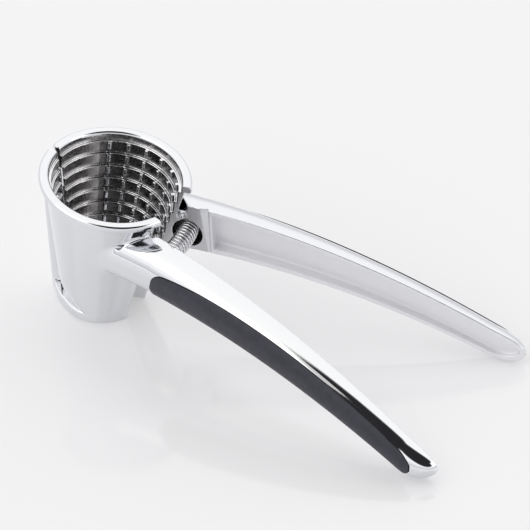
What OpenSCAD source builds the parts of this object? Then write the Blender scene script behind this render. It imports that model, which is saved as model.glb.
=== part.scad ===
// Cone nutcracker: two cast halves, each a half cup with its own handle, on one upright hinge pin.
// The cup leans toward the handles, so its hinge-side wall stands parallel to the pin.
// +X runs from the hinge to the handle tips, +Y is the rear half, the floor is z = 0.
// Each half is described in its own frame: s along the joint face, t outward from it, z up.

/* [Cup] */
// Outer radius of the rim at rest, when both halves lie on one circle
rim_r = 28; // [22:0.5:34]
// Width of the flat rim ring
rim_w = 3.8; // [2:0.1:6]
// Height of the rim bead along the cup axis
rim_h = 3; // [2:0.1:5]
// Height of the rim centre above the floor
rim_z = 60.3; // [50:0.1:75]
// Lean of the cup axis toward the handles, degrees
cup_lean = 9.8; // [0:0.1:15]
// Outer radius of the cup wall just below the rim
wall_top_r = 25.6; // [20:0.1:30]
// Outer radius of the cup wall at its foot
wall_foot_r = 15.6; // [10:0.1:20]
// Depth along the axis at which the foot radius is reached
wall_depth = 58.5; // [45:0.5:70]

/* [Steps and teeth] */
// Height of the smooth band above the first step
band_h = 3.4; // [2:0.1:8]
// Step height along the cup axis
step_h = 5.1; // [3:0.1:8]
// Step inset per ring
step_w = 1.06; // [0.5:0.01:2]
// Number of steps
steps = 9; // [5:1:10]
// Radius of the topmost step
step_r = 23.1; // [18:0.1:26]
// Angle between neighbouring columns of teeth, degrees
tooth_pitch = 18; // [10:1:30]
// Angle of the first column of teeth from +X, degrees
tooth_first = 36; // [20:1:60]
// Number of tooth columns in each half
tooth_columns = 6; // [0:1:8]
// Width of one tooth
tooth_w = 1.5; // [0.6:0.1:3]

/* [Hinge] */
// Half of the opening angle between the halves at rest, degrees
open_half = 11.2; // [5:0.1:20]
// Distance from the pin axis to the rim edge along X
hinge_out = 0.5; // [0:0.1:3]
// Gap from each joint face to the plane through the pin
face_gap = 0.1; // [0.05:0.05:1]
// Radius of the hinge barrel and of the lugs
barrel_r = 3.7; // [3:0.1:6]
// Diameter of the hinge pin
pin_d = 4; // [3:0.1:5]
// Radial clearance of the pin in the bores
pin_clear = 0.05; // [0.01:0.01:0.1]
// Height of the foot lug of the front half
lug_h = 4.6; // [3:0.1:8]
// Height where the barrel ends and the upper lug starts
barrel_top = 47; // [35:0.5:52]
// Height of the top of the upper lug
lug_top = 55; // [48:0.5:60]

/* [Handle] */
// Distance from the pin to the handle tip
reach = 179.6; // [150:0.5:220]
// Distance from the pin at which the grip channel starts
channel_s = 61.5; // [55:0.5:80]
// Half height of the handle at the root
root_half = 9.75; // [7:0.05:13]
// Loss of half height per millimetre of length
taper = 0.0325; // [0:0.0005:0.06]
// Thickness of the handle at the root
root_t = 12.5; // [8:0.1:16]
// Loss of thickness per millimetre of length
thinning = 0.043; // [0:0.001:0.08]
// Height of the handle's middle at the root
root_z = 37.3; // [25:0.1:45]
// Slope of the handle at the root
root_slope = 0.09; // [0:0.01:0.3]
// Curvature term that bends the handle down to the floor
sag = 0.00165; // [0:0.00005:0.004]
// Distance from the pin at which the top of the handle's root ends
root_end = 52.4; // [48:0.1:58]
// Height of the notch floor between the root and the cup wall
root_notch_z = 44.5; // [40:0.1:50]
// Wall left around the channel
channel_wall = 2; // [1:0.1:3]
// Depth of the channel at its near end
channel_depth = 4.5; // [2:0.1:8]
// Loss of channel depth per millimetre of length
channel_rise = 0.024; // [0:0.001:0.04]

/* [Grip] */
// Distance from the pin to the near end of the grip inlay
grip_s0 = 57.6; // [50:0.1:80]
// Distance from the pin to the far end of the grip inlay
grip_s1 = 172.6; // [120:0.1:178]
// Depth of the inlay below the handle surface
grip_depth = 1.2; // [0.6:0.1:2]
// Height of the inlay above the handle surface
grip_proud = 0.3; // [0:0.05:1]

/* [Spring] */
// Distance from the pin to the spring's middle line
spring_s = 51.6; // [45:0.1:60]
// Height of the spring's middle line
spring_z = 35; // [28:0.1:42]
// Outer diameter of the spring
spring_d = 8; // [5:0.1:11]
// Diameter of the pocket that holds each end
pocket_d = 11.6; // [8:0.1:13]
// Depth of each pocket
pocket_depth = 6; // [3:0.1:9]

/* [Hidden] */
$fn = 72;
tip_s = 166;                         // where the handle starts to level out and round off
rim_x = hinge_out + rim_r * cos(cup_lean);
slot_clear = 0.4;
loft_n = 28;
sec_n = 18;
// the whole object is shifted so that its box is centred on the origin
half_len = (reach * cos(open_half) + barrel_r) / 2;
shift_x = barrel_r - half_len;

// ---- frames ----
module centred() { translate([shift_x, 0, 0]) children(); }
module rear() { centred() rotate([0, 0, open_half]) children(); }          // s, t, z frame of the rear half
module front() { centred() mirror([0, 1, 0]) rotate([0, 0, open_half]) children(); }
module in_cup() {                                                          // cup frame seen from a half's frame
    rotate([0, 0, -open_half]) translate([rim_x, 0, rim_z]) rotate([0, cup_lean, 0]) children();
}

// ---- cup ----
function wall_r(h) = wall_top_r + (wall_foot_r - wall_top_r) * (h - rim_h) / (wall_depth - rim_h);

// the wall is a faceted cone, the rim bead a true ring
module cup_outside() {
    round_r = rim_h / 2;
    facets = 72;
    loft([for (h = [wall_depth + 8, 0.8])
        [for (j = [0:facets - 1]) [wall_r(h) * cos(360 * j / facets), wall_r(h) * sin(360 * j / facets), -h]]]);
    rotate_extrude() {
        polygon([[15, 0], [rim_r - round_r, 0], [rim_r - round_r, -rim_h], [wall_top_r - 1, -rim_h - 0.8],
                 [15, -rim_h - 0.8]]);
        translate([rim_r - round_r, -round_r]) circle(r = round_r, $fn = 20);
    }
}

// the stepped hollow; inset > 0 gives the surface through the tooth tips
module cup_hollow(inset) {
    step_z = function(i) -band_h - i * step_h;
    deep = step_z(steps);
    rotate_extrude()
        polygon(concat(
            [[0, 1], [rim_r - rim_w, 1], [rim_r - rim_w, -band_h + 0.9], [step_r + 0.3, -band_h]],
            [for (i = [0:steps - 1]) each [[step_r - i * step_w - inset, step_z(i)],
                                           [step_r - i * step_w - inset, step_z(i + 1)]]],
            [[step_r - steps * step_w - inset, deep], [0, deep - 2]]));
}

module tooth_slabs() {
    for (i = [0:tooth_columns - 1])
        rotate([0, 0, tooth_first + i * tooth_pitch])
            translate([4, -tooth_w / 2, -wall_depth]) cube([rim_r - 5.5, tooth_w, wall_depth - band_h]);
}

// ---- handle ----
function mid_z(s) = s < tip_s
    ? root_z - root_slope * (s - 58) - sag * pow(s - 58, 2)
    : mid_z(tip_s - 0.001) - (root_slope + 2 * sag * (tip_s - 58)) * (s - tip_s) + 0.0185 * pow(s - tip_s, 2);
function tip_k(s, from, to) = s <= from ? 1 : sqrt(max(0, 1 - pow((s - from) / (to - from), 2)));
function half_h(s) = root_half - taper * (s - 58);
function thick(s) = root_t - thinning * max(0, s - 58);
function crown(s) = 2.75 - 0.005 * max(0, s - 58);       // exponent of the section's rounded top
function bend(v, p) = sign(v) * pow(abs(v), 2 / p);
// point of the handle's surface at station s and section angle a, moved out by grow
function skin(s, a, grow) = let(k = tip_k(s, tip_s + 2, reach), p = a > 0 ? crown(s) : 2.5)
    [s, (thick(s) * k + grow) * bend(cos(a), p), mid_z(s) + (half_h(s) * k + grow) * bend(sin(a), p)];

// closed loft through rings of points that all have the same count
module loft(rings) {
    n = len(rings[0]);
    m = len(rings);
    polyhedron(
        points = [for (r = rings) each r],
        faces = concat(
            [[for (j = [0:n - 1]) j]],
            [for (i = [0:m - 2], j = [0:n - 1]) each
                [[i * n + j, (i + 1) * n + j, (i + 1) * n + (j + 1) % n],
                 [i * n + j, (i + 1) * n + (j + 1) % n, i * n + (j + 1) % n]]],
            [[for (j = [n - 1:-1:0]) (m - 1) * n + j]]));
}

function ring(s, grow, back) = let(z0 = skin(s, -90, grow)[2], z1 = skin(s, 90, grow)[2])
    concat([[s, -back, z0]], [for (j = [0:sec_n]) skin(s, -90 + 180 * j / sec_n, grow)], [[s, -back, z1]]);

// stations are closer together toward the tip
function station(i, n, from, to) = from + (to - from) * sin(90 * i / n);

module handle_outside() {
    difference() {
        loft([for (i = [0:loft_n]) ring(station(i, loft_n, 34, reach - 0.02), 0, 2)]);
        // the root's top stops short of the cup wall
        translate([root_end, 0, root_notch_z]) rotate([0, 0, 36]) translate([-8, -6, 0]) cube([8, 24, 20]);
    }
}

// the hollow in the handle's joint side follows the skin, one wall further in, down to a flat floor
module channel() {
    n = 18;
    end = reach - channel_wall * 1.2;
    loft([for (i = [0:n]) let(
            s = station(i, n, channel_s, end),
            k = tip_k(s, tip_s - 2, end + 0.01),
            w = (half_h(s) - channel_wall) * k,
            d = (thick(s) - channel_wall * 1.15) * max(k, 0.2),
            floor_t = channel_depth - channel_rise * (s - channel_s))
        concat([[s, -1, mid_z(s) - w]],
               [for (j = [1:11]) let(a = -90 + 15 * j, p = a > 0 ? crown(s) : 2.5)
                   [s, min(floor_t, d * bend(cos(a), p)), mid_z(s) + w * bend(sin(a), p)]],
               [[s, -1, mid_z(s) + w]])]);
}

// the inlay's upper edge rises along the handle, its lower edge stays tucked under
function grip_top(s) = 52 - 27.4 * exp(-(s - 62) / 25.5);

// grip inlay: a patch of the handle's outer skin, rounded at both ends
module grip_patch(low, high, slack) {
    n = 30;
    m = 12;
    end_r = 6.5;
    low_edge = -60;
    from = grip_s0 - slack;
    to = grip_s1 + slack;
    slack_a = slack * 7;
    loft([for (i = [0:n]) let(
            s = (from + to) / 2 - (to - from) / 2 * cos(180 * i / n),
            e = min(s - from, to - s),
            k = max(0.02, e >= end_r ? 1 : sqrt(max(0, 1 - pow(1 - e / end_r, 2)))),
            middle = (grip_top(s) + low_edge) / 2,
            w = ((grip_top(s) - low_edge) / 2 + slack_a) * k)
        concat([for (j = [0:m]) skin(s, middle - w + 2 * w * j / m, high)],
               [for (j = [m:-1:0]) skin(s, middle - w + 2 * w * j / m, low)])]);
}

// ---- one casting, in the half's frame ----
module foot_ledge() {
    // outline of the foot: a long arc from the hinge lug to the round of the cup
    linear_extrude(lug_h) rotate(-open_half) intersection() {
        translate([22.5, -14]) circle(r = 29.6);
        union() {
            translate([-10, 0]) square([26, 30]);
            translate([20, 0]) circle(r = 14);
        }
    }
}

module half_casting() {
    difference() {
        intersection() {
            union() {
                in_cup() cup_outside();
                handle_outside();
                foot_ledge();
            }
            translate([-30, face_gap, 0]) cube([260, 90, 90]);
        }
        difference() {
            in_cup() cup_hollow(0);
            intersection() {
                in_cup() tooth_slabs();
                difference() {
                    in_cup() cup_hollow(0);
                    in_cup() cup_hollow(step_w);
                }
            }
        }
        channel();
        grip_patch(-grip_depth - 0.05, 3, 0.05);
        translate([spring_s, pocket_depth + face_gap, spring_z]) rotate([90, 0, 0])
            cylinder(d = pocket_d, h = pocket_depth + 2);
        // round cast mark above the pocket
        translate([50.1, 0.3 + face_gap, 42.6]) rotate([90, 0, 0]) difference() {
            cylinder(d = 4.8, h = 1, $fn = 36);
            cylinder(d = 3.4, h = 3, center = true, $fn = 36);
        }
        translate([50.1, 0.4 + face_gap, 42.6]) rotate([90, 0, 0]) cylinder(d = 1.8, h = 1, $fn = 24);
    }
}

module axle(r, from, to) { translate([0, 0, from]) cylinder(r = r, h = to - from); }

module bore() { axle(pin_d / 2 + pin_clear, -1, 80); }

// ---- pieces ----
module front_jaw() {
    color("Silver") difference() {
        union() {
            front() difference() {
                half_casting();
                axle(barrel_r + slot_clear, lug_h - 0.001, barrel_top + slot_clear);
            }
            centred() axle(barrel_r, 0, lug_h);
            centred() axle(barrel_r, barrel_top + slot_clear, lug_top);
        }
        centred() bore();
    }
}

module rear_jaw() {
    color("Silver") difference() {
        union() {
            rear() difference() {
                half_casting();
                axle(barrel_r + slot_clear, -1, lug_h + slot_clear);
                axle(barrel_r + slot_clear, barrel_top, lug_top + slot_clear);
            }
            centred() axle(barrel_r, lug_h + slot_clear + 0.2, barrel_top - 0.2);
        }
        centred() bore();
    }
}

module hinge_pin() {
    color("Gainsboro") centred() axle(pin_d / 2, 0.5, lug_top - 0.5);
}

module return_spring() {
    sweep = open_half + 4.5;
    color("LightGray") centred() translate([0, 0, spring_z])
        rotate([0, 0, -sweep]) rotate_extrude(angle = 2 * sweep) translate([spring_s, 0]) circle(d = spring_d, $fn = 40);
}

module front_grip() { color("DimGray") front() grip_patch(-grip_depth, grip_proud, 0); }

module rear_grip() { color("DimGray") rear() grip_patch(-grip_depth, grip_proud, 0); }

front_jaw();
rear_jaw();
hinge_pin();
return_spring();
front_grip();
rear_grip();
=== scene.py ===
"""Looks of the cone nutcracker: polished castings, grip inlays, wound spring, studio floor and light.

Each casting is a smooth distance field that is meshed here, so its edges are rounded as plating rounds them.
Lengths in the shape functions are millimetres, in each half's own frame: s along the joint face from the
hinge pin, t outward from that face, z up. M turns them into Blender's metres.
"""

import math

import bpy
import numpy as np
from mathutils import Matrix, Vector


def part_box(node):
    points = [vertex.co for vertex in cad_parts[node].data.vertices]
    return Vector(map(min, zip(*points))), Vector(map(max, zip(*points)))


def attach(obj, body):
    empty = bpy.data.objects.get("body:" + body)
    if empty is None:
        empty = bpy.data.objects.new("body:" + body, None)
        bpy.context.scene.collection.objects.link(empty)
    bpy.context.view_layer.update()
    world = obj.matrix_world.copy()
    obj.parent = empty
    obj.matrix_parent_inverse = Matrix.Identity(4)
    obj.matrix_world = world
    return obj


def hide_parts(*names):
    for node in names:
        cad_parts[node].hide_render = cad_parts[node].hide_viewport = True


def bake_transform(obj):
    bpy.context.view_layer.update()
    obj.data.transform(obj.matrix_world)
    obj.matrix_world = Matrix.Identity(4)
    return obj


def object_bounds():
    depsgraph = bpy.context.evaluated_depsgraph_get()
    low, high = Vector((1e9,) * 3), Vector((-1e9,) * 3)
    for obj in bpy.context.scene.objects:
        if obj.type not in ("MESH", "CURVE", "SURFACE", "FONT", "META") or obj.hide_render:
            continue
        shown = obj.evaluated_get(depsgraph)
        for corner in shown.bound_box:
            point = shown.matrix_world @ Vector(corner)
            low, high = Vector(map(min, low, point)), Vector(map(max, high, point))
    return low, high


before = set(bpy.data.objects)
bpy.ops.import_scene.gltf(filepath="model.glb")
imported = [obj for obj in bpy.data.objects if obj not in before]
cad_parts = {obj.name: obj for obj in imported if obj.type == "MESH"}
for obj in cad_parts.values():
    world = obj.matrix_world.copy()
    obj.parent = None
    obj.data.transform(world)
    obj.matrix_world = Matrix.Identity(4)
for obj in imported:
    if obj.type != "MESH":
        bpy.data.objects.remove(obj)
cad_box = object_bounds()

M = 0.001
FINE, COARSE = ((0.28, 0.6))      # mesh cells, in the cup and along the handle

# ---- driving sizes in mm, as in the CAD: rim, cup wall, steps and teeth, hinge, handle, grip, spring ----
RIM_R, RIM_W, RIM_H, RIM_Z = 28.0, 3.8, 3.0, 60.3
CUP_LEAN = math.radians(9.8)
WALL_TOP_R, WALL_FOOT_R, WALL_DEPTH = 25.6, 15.6, 58.5
BAND_H, STEP_H, STEP_W, STEPS, STEP_R = 3.4, 5.1, 1.06, 9, 23.1
TOOTH_FIRST, TOOTH_PITCH, TOOTH_COLUMNS, TOOTH_W, TOOTH_SHARE = 36, 18, 6, 1.3, 0.62
OPEN_HALF = math.radians(11.2)
HINGE_OUT, FACE_GAP, BARREL_R, PIN_D = 0.5, 0.1, 3.7, 4.0
LUG_H, BARREL_TOP, LUG_TOP, SLOT = 4.6, 47.0, 55.0, 0.4
REACH, CHANNEL_S, ROOT_HALF, TAPER = 179.6, 61.5, 9.75, 0.0325
ROOT_T, THINNING, ROOT_Z, ROOT_SLOPE, SAG, TIP_S = 12.5, 0.043, 37.3, 0.09, 0.00165, 166.0
ROOT_END, ROOT_NOTCH_Z, NOTCH_TURN, ROOT_FLARE, CHANNEL_WALL = 52.4, 44.5, math.radians(36), 0.09, 2.0
GRIP_S0, GRIP_S1, GRIP_END_R, GRIP_LOW = 57.6, 172.6, 6.5, -60.0
CHANNEL_DEPTH, CHANNEL_RISE = 4.5, 0.024
SPRING_S, SPRING_Z, SPRING_D, WIRE_D, SPRING_TURNS = 51.6, 35.0, 7.6, 0.8, 19
POCKET_D, POCKET_DEPTH = 11.6, 6.0
GAP_SHADOW_WIDTH = 0.60                       # width of the painted gap shadow round a grip, partly under the plating
RIM_X = HINGE_OUT + RIM_R * math.cos(CUP_LEAN)
FOOT_X, FOOT_Y, FOOT_R, FOOT_END = 22.5, -14, 29.6, 16       # ledge round the foot, on the hinge side
DRAW_X, DRAW_Y, DRAW_R, DRAW_SLOPE = 34.8, -22, 40.9, 0.35   # the wall is drawn in outside this circle
MARK_S, MARK_Z, MARK_R, MARK_DOT = 50.1, 42.6, 2.1, 0.9      # cast mark above the spring pocket
RECESS_SHADE_TONES, SIDE_SHADE_TONES = (0.10, 0.20), (0.26, 0.42)        # painted shade in the cup's plating: darkest and lightest tone of each
POLISHED, ROUGH, DEEP_SHADE, SIDE_SHADE, FACE = range(5)                 # material slots of a casting, two of them with painted shade in the cup

pin_low, pin_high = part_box("hinge_pin")
PIVOT = Vector(((pin_low[0] + pin_high[0]) / 2, (pin_low[1] + pin_high[1]) / 2, 0))


# ---- small helpers on distance fields ----
def smin(a, b, k):
    """Union of two distances, with a fillet about k wide."""
    h = np.clip(0.5 + 0.5 * (b - a) / k, 0, 1)
    return b * (1 - h) + a * h - k * h * (1 - h)


def smax(a, b, k):
    return -smin(-a, -b, k)


def mid_z(s):
    """Height of the handle's middle line, which falls and levels off at the tip."""
    low = ROOT_Z - ROOT_SLOPE * (s - 58) - SAG * (s - 58) ** 2
    d = s - TIP_S
    start = ROOT_Z - ROOT_SLOPE * (TIP_S - 58) - SAG * (TIP_S - 58) ** 2
    end = start - (ROOT_SLOPE + 2 * SAG * (TIP_S - 58)) * d + 0.0185 * d ** 2
    return np.where(s < TIP_S, low, end)


def tip_k(s, start, end):
    """Share of the full section left at s, rounding off from start to end."""
    return np.sqrt(np.clip(1 - (np.clip(s - start, 0, None) / (end - start)) ** 2, 4e-4, 1))


def half_h(s):
    return ROOT_HALF - TAPER * (s - 58)


def thick(s):
    return ROOT_T - THINNING * np.clip(s - 58, 0, None) + ROOT_FLARE * np.clip(56 - s, 0, None)


def crown(s):
    """Power of the section's upper half: higher is flatter on top."""
    return 2.75 - 0.005 * np.clip(s - 58, 0, None)


def bar(s, t, z, inset_t, inset_z, start, end):
    """Distance to the handle's rounded bar, inset by some thickness; its tip narrows from start to end."""
    k = tip_k(s, start, end)
    tall, deep = (half_h(s) - inset_z) * k, (thick(s) - inset_t) * k
    v = z - mid_z(s)
    p = np.where(v > 0, crown(s), 2.5)
    a, b = np.abs(t) / deep + 1e-6, np.abs(v) / tall + 1e-6
    f = (a ** p + b ** p) ** (1 / p)
    g = f ** (1 - p)
    slope = np.sqrt((g * a ** (p - 1) / deep) ** 2 + (g * b ** (p - 1) / tall) ** 2)
    return (f - 1) / np.clip(slope, 0.02, None)


def grip_span(s):
    """Middle and half width of the grip, as section angles in degrees."""
    top = 52 - 27.4 * np.exp(-(s - 62) / 25.5) - 8 * np.exp((s - 168) / 22)
    low = GRIP_LOW + 32 * np.exp((s - GRIP_S1) / 8)        # the lower border turns up toward the tip
    edge = np.clip(np.minimum(s - GRIP_S0, GRIP_S1 - s) / GRIP_END_R, 0, 1)
    return (top + low) / 2, (top - low) / 2 * np.sqrt(np.clip(1 - (1 - edge) ** 2, 4e-4, 1))


def cup_coords(s, t, z):
    """Plan position, and position across, down and round the leaning axis of the cup."""
    c, n = math.cos(OPEN_HALF), math.sin(OPEN_HALF)
    x, y = s * c - t * n, s * n + t * c
    dx, dz = x - RIM_X, z - RIM_Z
    across = dx * math.cos(CUP_LEAN) - dz * math.sin(CUP_LEAN)
    depth = -(dx * math.sin(CUP_LEAN) + dz * math.cos(CUP_LEAN))
    return x, y, across, depth, np.hypot(across, y)


def cup_solid(r, depth, z):
    fall = (WALL_TOP_R - WALL_FOOT_R) / (WALL_DEPTH - RIM_H)
    wall = (r - WALL_TOP_R + fall * (depth - RIM_H)) * math.cos(math.atan(fall))
    wall = smax(wall, 1.0 - depth, 0.4)
    wall = smax(wall, -z, 1.4)
    soft = 1.25
    qx = np.abs(r - (RIM_R - RIM_W / 2)) - (RIM_W / 2 - soft)
    qz = np.abs(depth - RIM_H / 2) - (RIM_H / 2 - soft)
    rim = np.hypot(np.clip(qx, 0, None), np.clip(qz, 0, None)) + np.minimum(np.maximum(qx, qz), 0) - soft
    return smin(wall, rim, 0.5)


def stairs(r, depth, inset):
    """Room inside the cup, narrowing by one step at a time."""
    void = smax(r - (RIM_R - RIM_W), depth - BAND_H, 0.3)
    for i in range(STEPS):
        step = smax(r - (STEP_R - i * STEP_W - inset), depth - BAND_H - (i + 1) * STEP_H, 0.35)
        void = smin(void, step, 0.35)
    return void


def cup_void(across, y, r, depth):
    """Room inside the cup with the columns of teeth left standing."""
    ribs = None
    for i in range(TOOTH_COLUMNS):
        a = math.radians(TOOTH_FIRST + i * TOOTH_PITCH)
        along = across * math.cos(a) + y * math.sin(a)
        rib = np.maximum(np.abs(y * math.cos(a) - across * math.sin(a)) - TOOTH_W / 2, 3 - along)
        ribs = rib if ribs is None else np.minimum(ribs, rib)
    reach = TOOTH_SHARE * STEP_H / 2
    row = np.mod(depth - BAND_H, STEP_H)
    row = np.minimum(np.abs(row - reach), np.abs(row - STEP_H - reach)) - reach
    ribs = np.maximum(np.maximum(ribs, row), BAND_H + 0.2 - depth)
    return smax(stairs(r, depth, 0), smin(-ribs, stairs(r, depth, STEP_W), 0.3), 0.3)


def foot(x, y, z):
    arc = np.hypot(x - FOOT_X, y - FOOT_Y) - FOOT_R
    plate = np.minimum(np.maximum(arc, x - FOOT_END), np.hypot(x - 20, y) - 14)
    return smax(smax(plate, z - LUG_H, 0.9), -z, 0.8)


def above_foot(x, y, z):
    """Room above the foot's ledge, where the wall is drawn in."""
    edge = DRAW_R + DRAW_SLOPE * (z - LUG_H)
    return np.maximum(edge - np.hypot(x - DRAW_X, y - DRAW_Y), LUG_H - z)


def axle(s, t, z, r, low, high, k):
    rc = np.hypot(s, t)
    return smax(smax(rc - r, z - high, k), low - z, k)


def channel(s, t, z):
    end = REACH - CHANNEL_WALL * 1.2
    hollow = bar(s, t, z, CHANNEL_WALL * 1.15, CHANNEL_WALL, TIP_S - 2, end)
    hollow = smax(hollow, t - CHANNEL_DEPTH + CHANNEL_RISE * (s - CHANNEL_S), 0.9)
    return smax(hollow, CHANNEL_S - s, 0.6)


def end_wedge(s, t, z):
    """Shallow slanted facet between the joint face and the channel's end."""
    near = 59.2 - 0.11 * (z - 26.8)
    return np.maximum(np.maximum(near - s, s - CHANNEL_S + 1.3), t - 0.15 - 0.35 * (s - near))


def casting(s, t, z, is_front):
    """Distance to one casting; negative inside."""
    x, y, across, depth, r = cup_coords(s, t, z)
    handle = bar(s, t, z, 0, 0, TIP_S + 2, REACH)
    handle = np.maximum(handle, 34 - s)
    notch = np.maximum((s - ROOT_END) * math.cos(NOTCH_TURN) + t * math.sin(NOTCH_TURN), ROOT_NOTCH_Z - z)
    handle = smax(handle, -notch, 0.35)
    cup = smax(cup_solid(r, depth, z), -above_foot(x, y, z), 1.5)
    solid = smin(cup, handle, 1.4)
    solid = smin(solid, foot(x, y, z), 0.25)
    solid = smax(solid, FACE_GAP - t, 0.45)
    # hinge: front carries the lugs, rear the long barrel
    if is_front:
        solid = smax(solid, -axle(s, t, z, BARREL_R + SLOT, LUG_H, BARREL_TOP + SLOT, 0.1), 0.2)
        foot_lug = axle(s, t, z, BARREL_R, 0.3, LUG_H, 1.2)
        knuckle = np.minimum(foot_lug, axle(s, t, z, BARREL_R, BARREL_TOP + SLOT, LUG_TOP, 0.8))
    else:
        solid = smax(solid, -axle(s, t, z, BARREL_R + SLOT, -2, LUG_H + SLOT, 0.1), 0.2)
        solid = smax(solid, -axle(s, t, z, BARREL_R + SLOT, BARREL_TOP, LUG_TOP + SLOT, 0.1), 0.2)
        knuckle = axle(s, t, z, BARREL_R, LUG_H + SLOT, BARREL_TOP, 0.5)
    solid = smin(solid, knuckle, 0.5)
    solid = smax(solid, -cup_void(across, y, r, depth), 0.3)
    solid = smax(solid, -channel(s, t, z), 0.5)
    solid = smax(solid, -end_wedge(s, t, z), 0.1)
    pocket = np.maximum(np.hypot(s - SPRING_S, z - SPRING_Z) - POCKET_D / 2, t - POCKET_DEPTH)
    solid = smax(solid, -pocket, 0.35)
    from_mark = np.hypot(s - MARK_S, z - MARK_Z)
    ring = np.maximum(np.abs(from_mark - MARK_R) - 0.32, t - 0.55)
    dot = np.maximum(from_mark - MARK_DOT, t - 0.6)
    solid = smax(solid, -np.minimum(ring, dot), 0.2)
    return smax(solid, PIN_D / 2 + 0.05 - np.hypot(s, t), 0.1)


# ---- surface nets ----
def gradient(f, p, e=0.02):
    """Central differences of f."""
    g = np.empty_like(p)
    for i in range(3):
        q, w = p.copy(), p.copy()
        q[:, i] += e
        w[:, i] -= e
        g[:, i] = (f(*q.T) - f(*w.T)) / (2 * e)
    return g


def settle(f, p, limit):
    """One Newton step of the points toward f = 0."""
    value, e = f(*p.T), 0.02
    g = np.empty_like(p)
    for i in range(3):
        q = p.copy()
        q[:, i] += e
        g[:, i] = (f(*q.T) - value) / e
    step = (value / np.clip((g ** 2).sum(1), 0.05, None))[:, None] * g
    size = np.linalg.norm(step, axis=1, keepdims=True)
    return p - step * np.minimum(1, limit / np.clip(size, 1e-9, None))


BLOCK = 8


def sample(f, axes):
    """f on the grid, worked out in full only in the blocks near the surface."""
    count = [len(a) // BLOCK for a in axes]
    parts = [a.reshape(-1, BLOCK) for a in axes]
    middle = [(a[:, 0] + a[:, -1]) / 2 for a in parts]
    half = [(a[:, -1] - a[:, 0]) / 2 + (a[:, 1] - a[:, 0]) for a in parts]
    c = f(*np.meshgrid(*middle, indexing="ij"))
    radius = np.sqrt(sum(h ** 2 for h in np.meshgrid(*half, indexing="ij")))
    d = c.astype(np.float32).repeat(BLOCK, 0).repeat(BLOCK, 1).repeat(BLOCK, 2)
    blocks = d.reshape(count[0], BLOCK, count[1], BLOCK, count[2], BLOCK).transpose(0, 2, 4, 1, 3, 5)
    near = np.argwhere(np.abs(c) < 1.5 * radius)
    for i in range(0, len(near), 500):
        k = near[i:i + 500]
        x = parts[0][k[:, 0]][:, :, None, None]
        y = parts[1][k[:, 1]][:, None, :, None]
        z = parts[2][k[:, 2]][:, None, None, :]
        x, y, z = np.broadcast_arrays(x, y, z)
        blocks[k[:, 0], k[:, 1], k[:, 2]] = f(x, y, z)
    return d


def surface(f, axes):
    """Points, quads and normals of f = 0 on a rectangular grid."""
    d = sample(f, axes)
    nx, ny, nz = d.shape
    inside = d < 0
    cells = np.zeros((nx - 1, ny - 1, nz - 1), np.uint8)
    corners = [(a, b, c) for a in (0, 1) for b in (0, 1) for c in (0, 1)]
    for a, b, c in corners:
        cells += inside[a:nx - 1 + a, b:ny - 1 + b, c:nz - 1 + c]
    active = (cells > 0) & (cells < 8)
    index = np.full(active.shape, -1, np.int64)
    where = np.argwhere(active)
    index[active] = np.arange(len(where))
    total, count = np.zeros((len(where), 3)), np.zeros(len(where))
    for m, ca in enumerate(corners):
        for cb in corners[m + 1:]:
            if sum(abs(u - v) for u, v in zip(ca, cb)) != 1:
                continue
            da, db = d[tuple((where + ca).T)], d[tuple((where + cb).T)]
            cross = (da < 0) != (db < 0)
            w = np.where(cross, da / np.where(cross, da - db, 1), 0)[:, None]
            total += np.where(cross[:, None], np.array(ca) + w * (np.array(cb) - np.array(ca)), 0)
            count += cross
    share = total / count[:, None]
    p = np.stack([a[i] + f_ * (a[i + 1] - a[i]) for a, i, f_ in zip(axes, where.T, share.T)], 1)
    for _ in range(2):
        p = settle(f, p, FINE / 2)
    quads = []
    for axis in range(3):
        u, v = (axis + 1) % 3, (axis + 2) % 3
        a = np.take(inside, range(0, inside.shape[axis] - 1), axis)
        b = np.take(inside, range(1, inside.shape[axis]), axis)
        e = np.argwhere(a != b)
        e = e[(e[:, u] > 0) & (e[:, u] < inside.shape[u] - 1)]
        e = e[(e[:, v] > 0) & (e[:, v] < inside.shape[v] - 1)]
        out = inside[tuple(e.T)]
        ring = []
        for du, dv in ((1, 1), (0, 1), (0, 0), (1, 0)):
            c = e.copy()
            c[:, u] -= du
            c[:, v] -= dv
            ring.append(index[tuple(c.T)])
        q = np.stack(ring, 1)
        q[~out] = q[~out][:, ::-1]
        quads.append(q)
    normals = gradient(f, p)
    normals /= np.clip(np.linalg.norm(normals, axis=1, keepdims=True), 1e-9, None)
    return p, np.concatenate(quads), normals


# ---- meshes ----
def to_world(p, side):
    """Turns a half's frame into the shared one, about the pin; side is -1 for the front half."""
    c, n = math.cos(OPEN_HALF), math.sin(OPEN_HALF)
    return np.stack([p[:, 0] * c - p[:, 1] * n, side * (p[:, 0] * n + p[:, 1] * c), p[:, 2]], 1)


def new_mesh(name, points, faces, materials, normals=None, which=None):
    """Smooth mesh object; which holds each face's material slot."""
    mesh = bpy.data.meshes.new(name)
    faces = np.asarray(faces, np.int32)
    per = faces.shape[1]
    mesh.vertices.add(len(points))
    mesh.vertices.foreach_set("co", np.asarray(points, np.float32).ravel())
    mesh.loops.add(faces.size)
    mesh.loops.foreach_set("vertex_index", faces.ravel())
    mesh.polygons.add(len(faces))
    mesh.polygons.foreach_set("loop_start", np.arange(len(faces), dtype=np.int32) * per)
    for m in materials:
        mesh.materials.append(m)
    if which is not None:
        mesh.polygons.foreach_set("material_index", np.asarray(which, np.int32))
    mesh.polygons.foreach_set("use_smooth", np.ones(len(faces), bool))
    mesh.update()
    mesh.validate()
    if normals is not None:
        mesh.normals_split_custom_set_from_vertices([tuple(n) for n in normals])
    obj = bpy.data.objects.new(name, mesh)
    bpy.context.scene.collection.objects.link(obj)
    return obj


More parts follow.
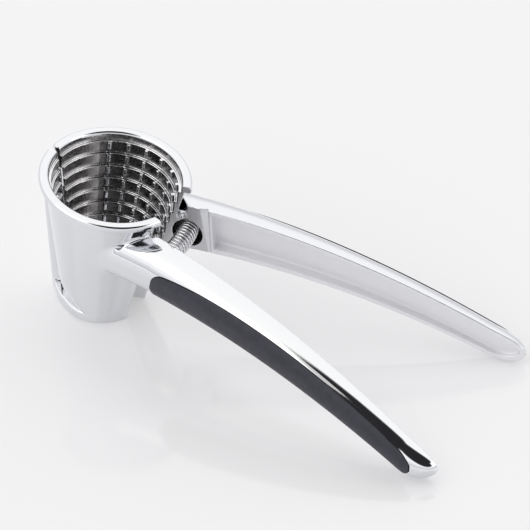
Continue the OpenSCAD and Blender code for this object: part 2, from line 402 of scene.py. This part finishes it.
# ---- materials ----
def material(name, **sockets):
    """Material whose shader sockets are set by name."""
    mat = bpy.data.materials.new(name)
    mat.use_nodes = True
    shader = mat.node_tree.nodes["Principled BSDF"]
    for key, value in sockets.items():
        shader.inputs[key.replace("_", " ")].default_value = value
    return mat, mat.node_tree.nodes, mat.node_tree.links, shader


def noise_range(nodes, links, scale, low, high, detail=3, stretch=None):
    """Noise in object space, mapped to low..high."""
    coord = nodes.new("ShaderNodeTexCoord")
    noise = nodes.new("ShaderNodeTexNoise")
    noise.inputs["Scale"].default_value = scale
    noise.inputs["Detail"].default_value = detail
    out = coord.outputs["Object"]
    if stretch:
        place = nodes.new("ShaderNodeMapping")
        place.inputs["Scale"].default_value = stretch
        links.new(out, place.inputs["Vector"])
        out = place.outputs["Vector"]
    links.new(out, noise.inputs["Vector"])
    spread = nodes.new("ShaderNodeMapRange")
    spread.inputs["From Min"].default_value = 0.3
    spread.inputs["From Max"].default_value = 0.7
    spread.inputs["To Min"].default_value = low
    spread.inputs["To Max"].default_value = high
    links.new(noise.outputs["Fac"], spread.inputs["Value"])
    return spread.outputs["Result"]


def bump(nodes, links, height, shader, strength, distance):
    b = nodes.new("ShaderNodeBump")
    b.inputs["Strength"].default_value = strength
    b.inputs["Distance"].default_value = distance
    links.new(height, b.inputs["Height"])
    links.new(b.outputs["Normal"], shader.inputs["Normal"])


def make_chrome():
    mat, nodes, links, shader = material("plated_chrome", Base_Color=(0.76, 0.765, 0.79, 1), Metallic=1.0)
    links.new(noise_range(nodes, links, 60, 0.04, 0.09), shader.inputs["Roughness"])
    bump(nodes, links, noise_range(nodes, links, 45, 0, 1, 2), shader, 0.04, 0.0004)
    return mat


def make_painted_shade_plating(name, low, high):
    """Plating in the cup, darker than outside: painted shade and dark reflections of its recesses."""
    mat, nodes, links, shader = material(name, Metallic=1.0)
    tone = nodes.new("ShaderNodeMix")
    tone.data_type = "RGBA"
    links.new(noise_range(nodes, links, 180, 0, 1, 5), tone.inputs["Factor"])
    tone.inputs["A"].default_value = (low, low * 0.95, low * 0.93, 1)
    tone.inputs["B"].default_value = (high, high * 0.96, high * 0.96, 1)
    links.new(tone.outputs["Result"], shader.inputs["Base Color"])
    links.new(noise_range(nodes, links, 300, 0.20, 0.32, 4), shader.inputs["Roughness"])
    bump(nodes, links, noise_range(nodes, links, 700, 0, 1, 4), shader, 0.15, 0.0002)
    return mat


def make_cast(name, tone, metal):
    """Unpolished cast face."""
    mat, nodes, links, shader = material(name, Base_Color=(tone, tone, tone * 1.03, 1), Metallic=metal)
    links.new(noise_range(nodes, links, 220, 0.34, 0.46, 6), shader.inputs["Roughness"])
    bump(nodes, links, noise_range(nodes, links, 900, 0, 1, 5), shader, 0.25, 0.0002)
    return mat


def make_grip():
    mat, nodes, links, shader = material("grip_soft_touch", Roughness=0.5)
    shader.inputs["Specular IOR Level"].default_value = 0.35
    ramp = nodes.new("ShaderNodeMix")
    ramp.data_type = "RGBA"
    links.new(noise_range(nodes, links, 350, 0, 1, 4), ramp.inputs["Factor"])
    ramp.inputs["A"].default_value = (0.035, 0.035, 0.048, 1)
    ramp.inputs["B"].default_value = (0.047, 0.047, 0.063, 1)
    links.new(ramp.outputs["Result"], shader.inputs["Base Color"])
    links.new(noise_range(nodes, links, 500, 0.42, 0.55), shader.inputs["Roughness"])
    bump(nodes, links, noise_range(nodes, links, 2500, 0, 1, 4), shader, 0.12, 0.0001)
    return mat


def make_gap_shadow():
    """Painted shadow line where the inlay meets the casting."""
    mat, nodes, links, shader = material("grip_painted_gap_shadow", Base_Color=(0.006, 0.006, 0.008, 1))
    shader.inputs["Specular IOR Level"].default_value = 0.2
    links.new(noise_range(nodes, links, 600, 0.55, 0.75), shader.inputs["Roughness"])
    bump(nodes, links, noise_range(nodes, links, 2000, 0, 1, 3), shader, 0.1, 0.0001)
    return mat


def make_wire():
    mat, nodes, links, shader = material("spring_wire", Base_Color=(0.78, 0.78, 0.80, 1), Metallic=1.0)
    links.new(noise_range(nodes, links, 800, 0.14, 0.24, 4), shader.inputs["Roughness"])
    bump(nodes, links, noise_range(nodes, links, 1800, 0, 1, 3), shader, 0.08, 0.0001)
    return mat


def make_pin():
    mat, nodes, links, shader = material("pin_steel", Base_Color=(0.60, 0.60, 0.62, 1), Metallic=1.0)
    links.new(noise_range(nodes, links, 500, 0.22, 0.36, 4, (1, 1, 0.1)), shader.inputs["Roughness"])
    bump(nodes, links, noise_range(nodes, links, 900, 0, 1, 3, (1, 1, 0.1)), shader, 0.1, 0.0001)
    return mat


def make_floor():
    mat, nodes, links, shader = material("studio_floor", Base_Color=(0.51, 0.51, 0.525, 1))
    shader.inputs["Emission Color"].default_value = (1, 1, 1, 1)        # lit sheet, so that shadows stay pale
    shader.inputs["Emission Strength"].default_value = 0.33
    shader.inputs["Specular IOR Level"].default_value = 0.6
    links.new(noise_range(nodes, links, 3, 0.07, 0.11), shader.inputs["Roughness"])
    return mat


CHROME = make_chrome()
CAST, JOINT = make_cast("channel_cast", 0.86, 0.45), make_cast("joint_face_cast", 0.60, 0.85)
# two cup platings with painted shade, the darker one between the teeth
RECESS_SHADE = make_painted_shade_plating("recess_painted_shade", *RECESS_SHADE_TONES)
SHADE = make_painted_shade_plating("side_painted_shade", *SIDE_SHADE_TONES)
GRIP, GAP_SHADOW, WIRE, PIN = make_grip(), make_gap_shadow(), make_wire(), make_pin()


# ---- pieces ----
def grid_line(*stops):
    """Grid coordinates through (start, step) pairs up to an end, in whole blocks."""
    line = []
    for (start, step), (end, _) in zip(stops, stops[1:]):
        line += list(np.arange(start, end - step / 2, step))
    last = stops[-2][1]
    line.append(line[-1] + last)
    while len(line) % BLOCK:
        line.append(line[-1] + last)
    return np.array(line)


def casting_slots(mid, face_n):
    """Material slot of each face, from its middle and its normal in the half's frame."""
    s, t, z = mid.T
    up = np.abs(face_n[:, 2])
    x, y, across, depth, r = cup_coords(s, t, z)
    # faces that meet the other half
    on_split = (np.abs(t - FACE_GAP) < 0.12) & (face_n[:, 1] < -0.8)
    on_joint = on_split & (s > 40)
    in_channel = (np.abs(channel(s, t, z)) < 0.3) & (s > CHANNEL_S - 0.6)
    from_spring = np.hypot(s - SPRING_S, z - SPRING_Z)
    in_pocket = (from_spring < POCKET_D / 2 + 0.1) & (t > 0) & (t < POCKET_DEPTH + 0.2)
    slot = np.where(on_joint | in_channel, ROUGH, POLISHED)
    slot = np.where(on_joint & (s < CHANNEL_S - 0.8), FACE, slot)
    # painted shade: the inside of the spring pocket and the joint face by the hinge pin get the darkest cup
    # plating
    slot = np.where((in_pocket & (t > 0.5)) | (on_split & (s < 14)), DEEP_SHADE, slot)
    # risers of the steps get painted shade, darkest between the teeth
    in_cup = np.abs(cup_void(across, y, r, depth)) < 0.45
    in_cup = in_cup & (depth > 0.9) & (r < RIM_R - RIM_W + 0.5) & (up < 0.5)
    on_rib = np.abs(stairs(r, depth, 0)) > 0.35
    turn_deg = np.degrees(np.arctan2(y, across))
    last_tooth = TOOTH_FIRST + (TOOTH_COLUMNS - 0.5) * TOOTH_PITCH
    toothed = (turn_deg > TOOTH_FIRST - 12) & (turn_deg < last_tooth)
    slot = np.where(in_cup & ~on_rib & (depth > BAND_H - 0.1), np.where(toothed, DEEP_SHADE, SIDE_SHADE), slot)
    # painted shade and dark reflection: the smooth band under the rim gets the lighter cup shade
    return np.where(in_cup & (depth > 1.3) & (depth < BAND_H - 0.1), SIDE_SHADE, slot)


def make_casting(name, side):
    is_front = side < 0
    f = lambda s, t, z: casting(s, t, z, is_front)
    axes = (grid_line((-5.5, FINE), (67, COARSE), (166, FINE * 1.2), (REACH + 1, 0)),
            grid_line((-5.5, FINE), (30.5, 0)), grid_line((-1, FINE), (66.5, 0)))
    p, quads, normals = surface(f, axes)
    slots = casting_slots(p[quads].mean(1), normals[quads].mean(1))
    if is_front:
        quads = quads[:, ::-1]
    points = to_world(p, side) * M + np.array(PIVOT)
    obj = new_mesh(name, points, quads, [CHROME, CAST, RECESS_SHADE, SHADE, JOINT], to_world(normals, side), slots)
    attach(obj, "front" if is_front else "rear")
    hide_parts(name.replace("casting", "jaw"))
    return obj


def skin(s, a, grow):
    """Point of the handle's surface at station s and section angle a (radians), moved out by grow."""
    k = tip_k(s, TIP_S + 2, REACH)
    p = np.where(a > 0, crown(s), 2.5)
    ct, st = np.cos(a), np.sin(a)
    return np.stack([s + 0 * a,
                     (thick(s) * k + grow) * np.sign(ct) * np.abs(ct) ** (2 / p),
                     mid_z(s) + (half_h(s) * k + grow) * np.sign(st) * np.abs(st) ** (2 / p)], -1)


def make_grip_piece(name, side):
    """Soft inlay, a little proud of the casting's outer side."""
    n, m = ((220, 36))
    v = np.sin(np.linspace(-math.pi / 2, math.pi / 2, m + 1))       # closer together at the borders
    u = np.linspace(0, math.pi, n + 1)
    s = (GRIP_S0 + GRIP_S1) / 2 - (GRIP_S1 - GRIP_S0) / 2 * np.cos(u)
    ss, vv = np.meshgrid(s, v, indexing="ij")
    middle, half = grip_span(ss)
    a = np.radians(middle + half * vv)
    # the border dips under the plating and ends in a thin line of painted gap shadow
    side_gap = half * (1 - np.abs(vv)) * 0.16
    gap = np.minimum(side_gap, np.minimum(ss - GRIP_S0, GRIP_S1 - ss))
    rise = -0.55 + 0.83 * np.sqrt(np.clip(1 - (1 - np.clip(gap / 0.8, 0, 1)) ** 2, 0, 1))
    top = skin(ss, a, rise)
    bottom = skin(ss, a, -1.0 + 0 * rise)
    w = m + 1
    points = np.concatenate([top.reshape(-1, 3), bottom.reshape(-1, 3)])
    base = len(points) // 2
    i, j = np.meshgrid(np.arange(n), np.arange(m), indexing="ij")
    q = np.stack([i * w + j, (i + 1) * w + j, (i + 1) * w + j + 1, i * w + j + 1], -1).reshape(-1, 4)
    faces = [q, q[:, ::-1] + base]
    for column, flip in ((0, False), (m, True)):
        r = np.arange(n) * w + column
        e = np.stack([r, r + base, r + w + base, r + w], 1)
        faces.append(e[:, ::-1] if flip else e)
    for row, flip in ((0, True), (n, False)):
        c = np.arange(m) + row * w
        e = np.stack([c, c + base, c + 1 + base, c + 1], 1)
        faces.append(e[:, ::-1] if flip else e)
    faces = np.concatenate(faces)
    if side > 0:
        faces = faces[:, ::-1]
    # faces near the border get the painted gap shadow
    in_gap_shadow = np.tile(gap.ravel(), 2)[faces].mean(1) < GAP_SHADOW_WIDTH
    points = to_world(points, side) * M + np.array(PIVOT)
    obj = new_mesh(name + "_inlay", points, faces, [GRIP, GAP_SHADOW], None, in_gap_shadow)
    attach(obj, "front" if side < 0 else "rear")
    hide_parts(name)
    return obj


def make_spring():
    """Wound wire along an arc about the hinge pin, from one pocket to the other."""
    sweep = OPEN_HALF + math.radians(5.6)
    steps, sides = ((SPRING_TURNS * 36, 10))
    u = np.linspace(0, 1, steps + 1)
    closed = 0.06                                   # the end coils lie close together
    ease = u - closed * np.sin(2 * math.pi * u) / (2 * math.pi)
    along = -sweep + 2 * sweep * ease
    twist = 2 * math.pi * SPRING_TURNS * u + 0.9
    coil_r = SPRING_D / 2 - WIRE_D / 2
    ring = SPRING_S + coil_r * np.cos(twist)
    path = np.stack([ring * np.cos(along), ring * np.sin(along), SPRING_Z + coil_r * np.sin(twist)], 1)
    tangent = np.gradient(path, axis=0)
    tangent /= np.linalg.norm(tangent, axis=1, keepdims=True)
    centre = np.stack([SPRING_S * np.cos(along), SPRING_S * np.sin(along), SPRING_Z + 0 * along], 1)
    out = path - centre
    out -= (out * tangent).sum(1, keepdims=True) * tangent
    out /= np.linalg.norm(out, axis=1, keepdims=True)
    up = np.cross(tangent, out)
    w = np.linspace(0, 2 * math.pi, sides, endpoint=False)[None, :, None]
    points = path[:, None] + WIRE_D / 2 * (np.cos(w) * out[:, None] + np.sin(w) * up[:, None])
    i, j = np.meshgrid(np.arange(steps), np.arange(sides), indexing="ij")
    here, beside = i * sides + j, i * sides + (j + 1) % sides
    quads = np.stack([here, beside, beside + sides, here + sides], -1)
    obj = new_mesh("spring_coil", points.reshape(-1, 3) * M + np.array(PIVOT), quads.reshape(-1, 4), [WIRE])
    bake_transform(obj)
    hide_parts("return_spring")
    return obj


make_casting("front_casting", -1)
make_casting("rear_casting", 1)
make_grip_piece("front_grip", -1)
make_grip_piece("rear_grip", 1)
make_spring()
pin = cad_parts["hinge_pin"]            # already round and true in the CAD; it only gets its steel
pin.data.materials.clear()
pin.data.materials.append(PIN)

# ---- stage ----
def make_floor_sheet():
    """Round floor, finer near the object."""
    n, rings = 96, (0.3, 0.8, 2.0, 5.0)
    points = [(0, 0, 0)]
    turns = [2 * math.pi * i / n for i in range(n)]
    for ring in rings:
        points += [(ring * math.cos(a), ring * math.sin(a), 0) for a in turns]
    faces = [(0, 1 + i, 1 + (i + 1) % n) for i in range(n)]
    for k in range(len(rings) - 1):
        a, b = 1 + k * n, 1 + (k + 1) * n
        faces += [(a + i, b + i, b + (i + 1) % n, a + (i + 1) % n) for i in range(n)]
    mesh = bpy.data.meshes.new("studio_floor")
    mesh.from_pydata(points, [], faces)
    mesh.materials.append(make_floor())
    obj = bpy.data.objects.new("studio_floor", mesh)
    bpy.context.scene.collection.objects.link(obj)
    return obj


make_floor_sheet()


def area(name, place, aim, size, power, tint=(1, 1, 1)):
    """Soft box at place, turned to aim."""
    light = bpy.data.lights.new(name, "AREA")
    light.shape = "RECTANGLE"
    light.size, light.size_y = size
    light.energy = power
    light.color = tint
    obj = bpy.data.objects.new(name, light)
    obj.location = place
    obj.rotation_euler = (Vector(aim) - Vector(place)).to_track_quat("-Z", "Y").to_euler()
    bpy.context.scene.collection.objects.link(obj)


centre = tuple((low + high) / 2 for low, high in zip(*cad_box))
area("key", (-0.5, -0.7, 1.5), centre, (1.2, 1.2), 3.4, (1, 0.99, 0.96))
area("side", (1.5, 0.2, 0.9), centre, (0.8, 0.8), 2.2)


DARK_SIDE = (0.48, -0.35, 0.81)         # direction of the unlit part of the room


def make_world():
    """Soft white room, dimmer toward its horizon, with one unlit part overhead."""
    world = bpy.data.worlds.new("studio")
    bpy.context.scene.world = world
    world.use_nodes = True
    nodes, links = world.node_tree.nodes, world.node_tree.links
    coord = nodes.new("ShaderNodeTexCoord")
    split = nodes.new("ShaderNodeSeparateXYZ")
    links.new(coord.outputs["Generated"], split.inputs["Vector"])

    def ramp(source, stops):
        node = nodes.new("ShaderNodeValToRGB")
        while len(node.color_ramp.elements) < len(stops):
            node.color_ramp.elements.new(0.5)
        for element, (place, tone) in zip(node.color_ramp.elements, stops):
            element.position = place
            element.color = (tone, tone, tone * (1.03 - 0.055 * place), 1)
        links.new(source, node.inputs["Fac"])
        return node.outputs["Color"]

    room = ramp(split.outputs["Z"], [(0.0, 0.14), (0.04, 0.66), (0.25, 0.73), (0.43, 0.93), (1.0, 1.0)])
    dot = nodes.new("ShaderNodeVectorMath")
    dot.operation = "DOT_PRODUCT"
    links.new(coord.outputs["Generated"], dot.inputs[0])
    dot.inputs[1].default_value = Vector(DARK_SIDE).normalized()
    mix = nodes.new("ShaderNodeMix")
    mix.data_type = "RGBA"
    links.new(ramp(dot.outputs["Value"], [(0.84, 0), (0.875, 1)]), mix.inputs["Factor"])
    links.new(room, mix.inputs["A"])
    mix.inputs["B"].default_value = (0.02, 0.02, 0.022, 1)
    sky = nodes["Background"]
    links.new(mix.outputs["Result"], sky.inputs["Color"])
    sky.inputs["Strength"].default_value = 1.25


make_world()

# ---- camera, at the photograph's angle ----
AZIMUTH, ELEVATION, ROLL = math.radians(30.95), math.radians(38.17), math.radians(-2.77)
DISTANCE = 1.180
aim = Vector((centre[0] + 0.003, centre[1], 0.0408))
flat = math.cos(ELEVATION)
ahead = Vector((-math.sin(AZIMUTH) * flat, math.cos(AZIMUTH) * flat, -math.sin(ELEVATION)))
level = ahead.cross(Vector((0, 0, 1))).normalized()
upright = level.cross(ahead)
right = level * math.cos(ROLL) + upright * math.sin(ROLL)
above = upright * math.cos(ROLL) - level * math.sin(ROLL)
camera = bpy.data.objects.new("camera", bpy.data.cameras.new("camera"))
camera.data.lens = 223.7
camera.data.sensor_width = 36
camera.data.clip_end = 20
turn = Matrix((right, above, -ahead)).transposed().to_4x4()
camera.matrix_world = Matrix.Translation(aim - ahead * DISTANCE) @ turn
bpy.context.scene.collection.objects.link(camera)
bpy.context.scene.camera = camera
bpy.context.scene.view_settings.view_transform = "Standard"
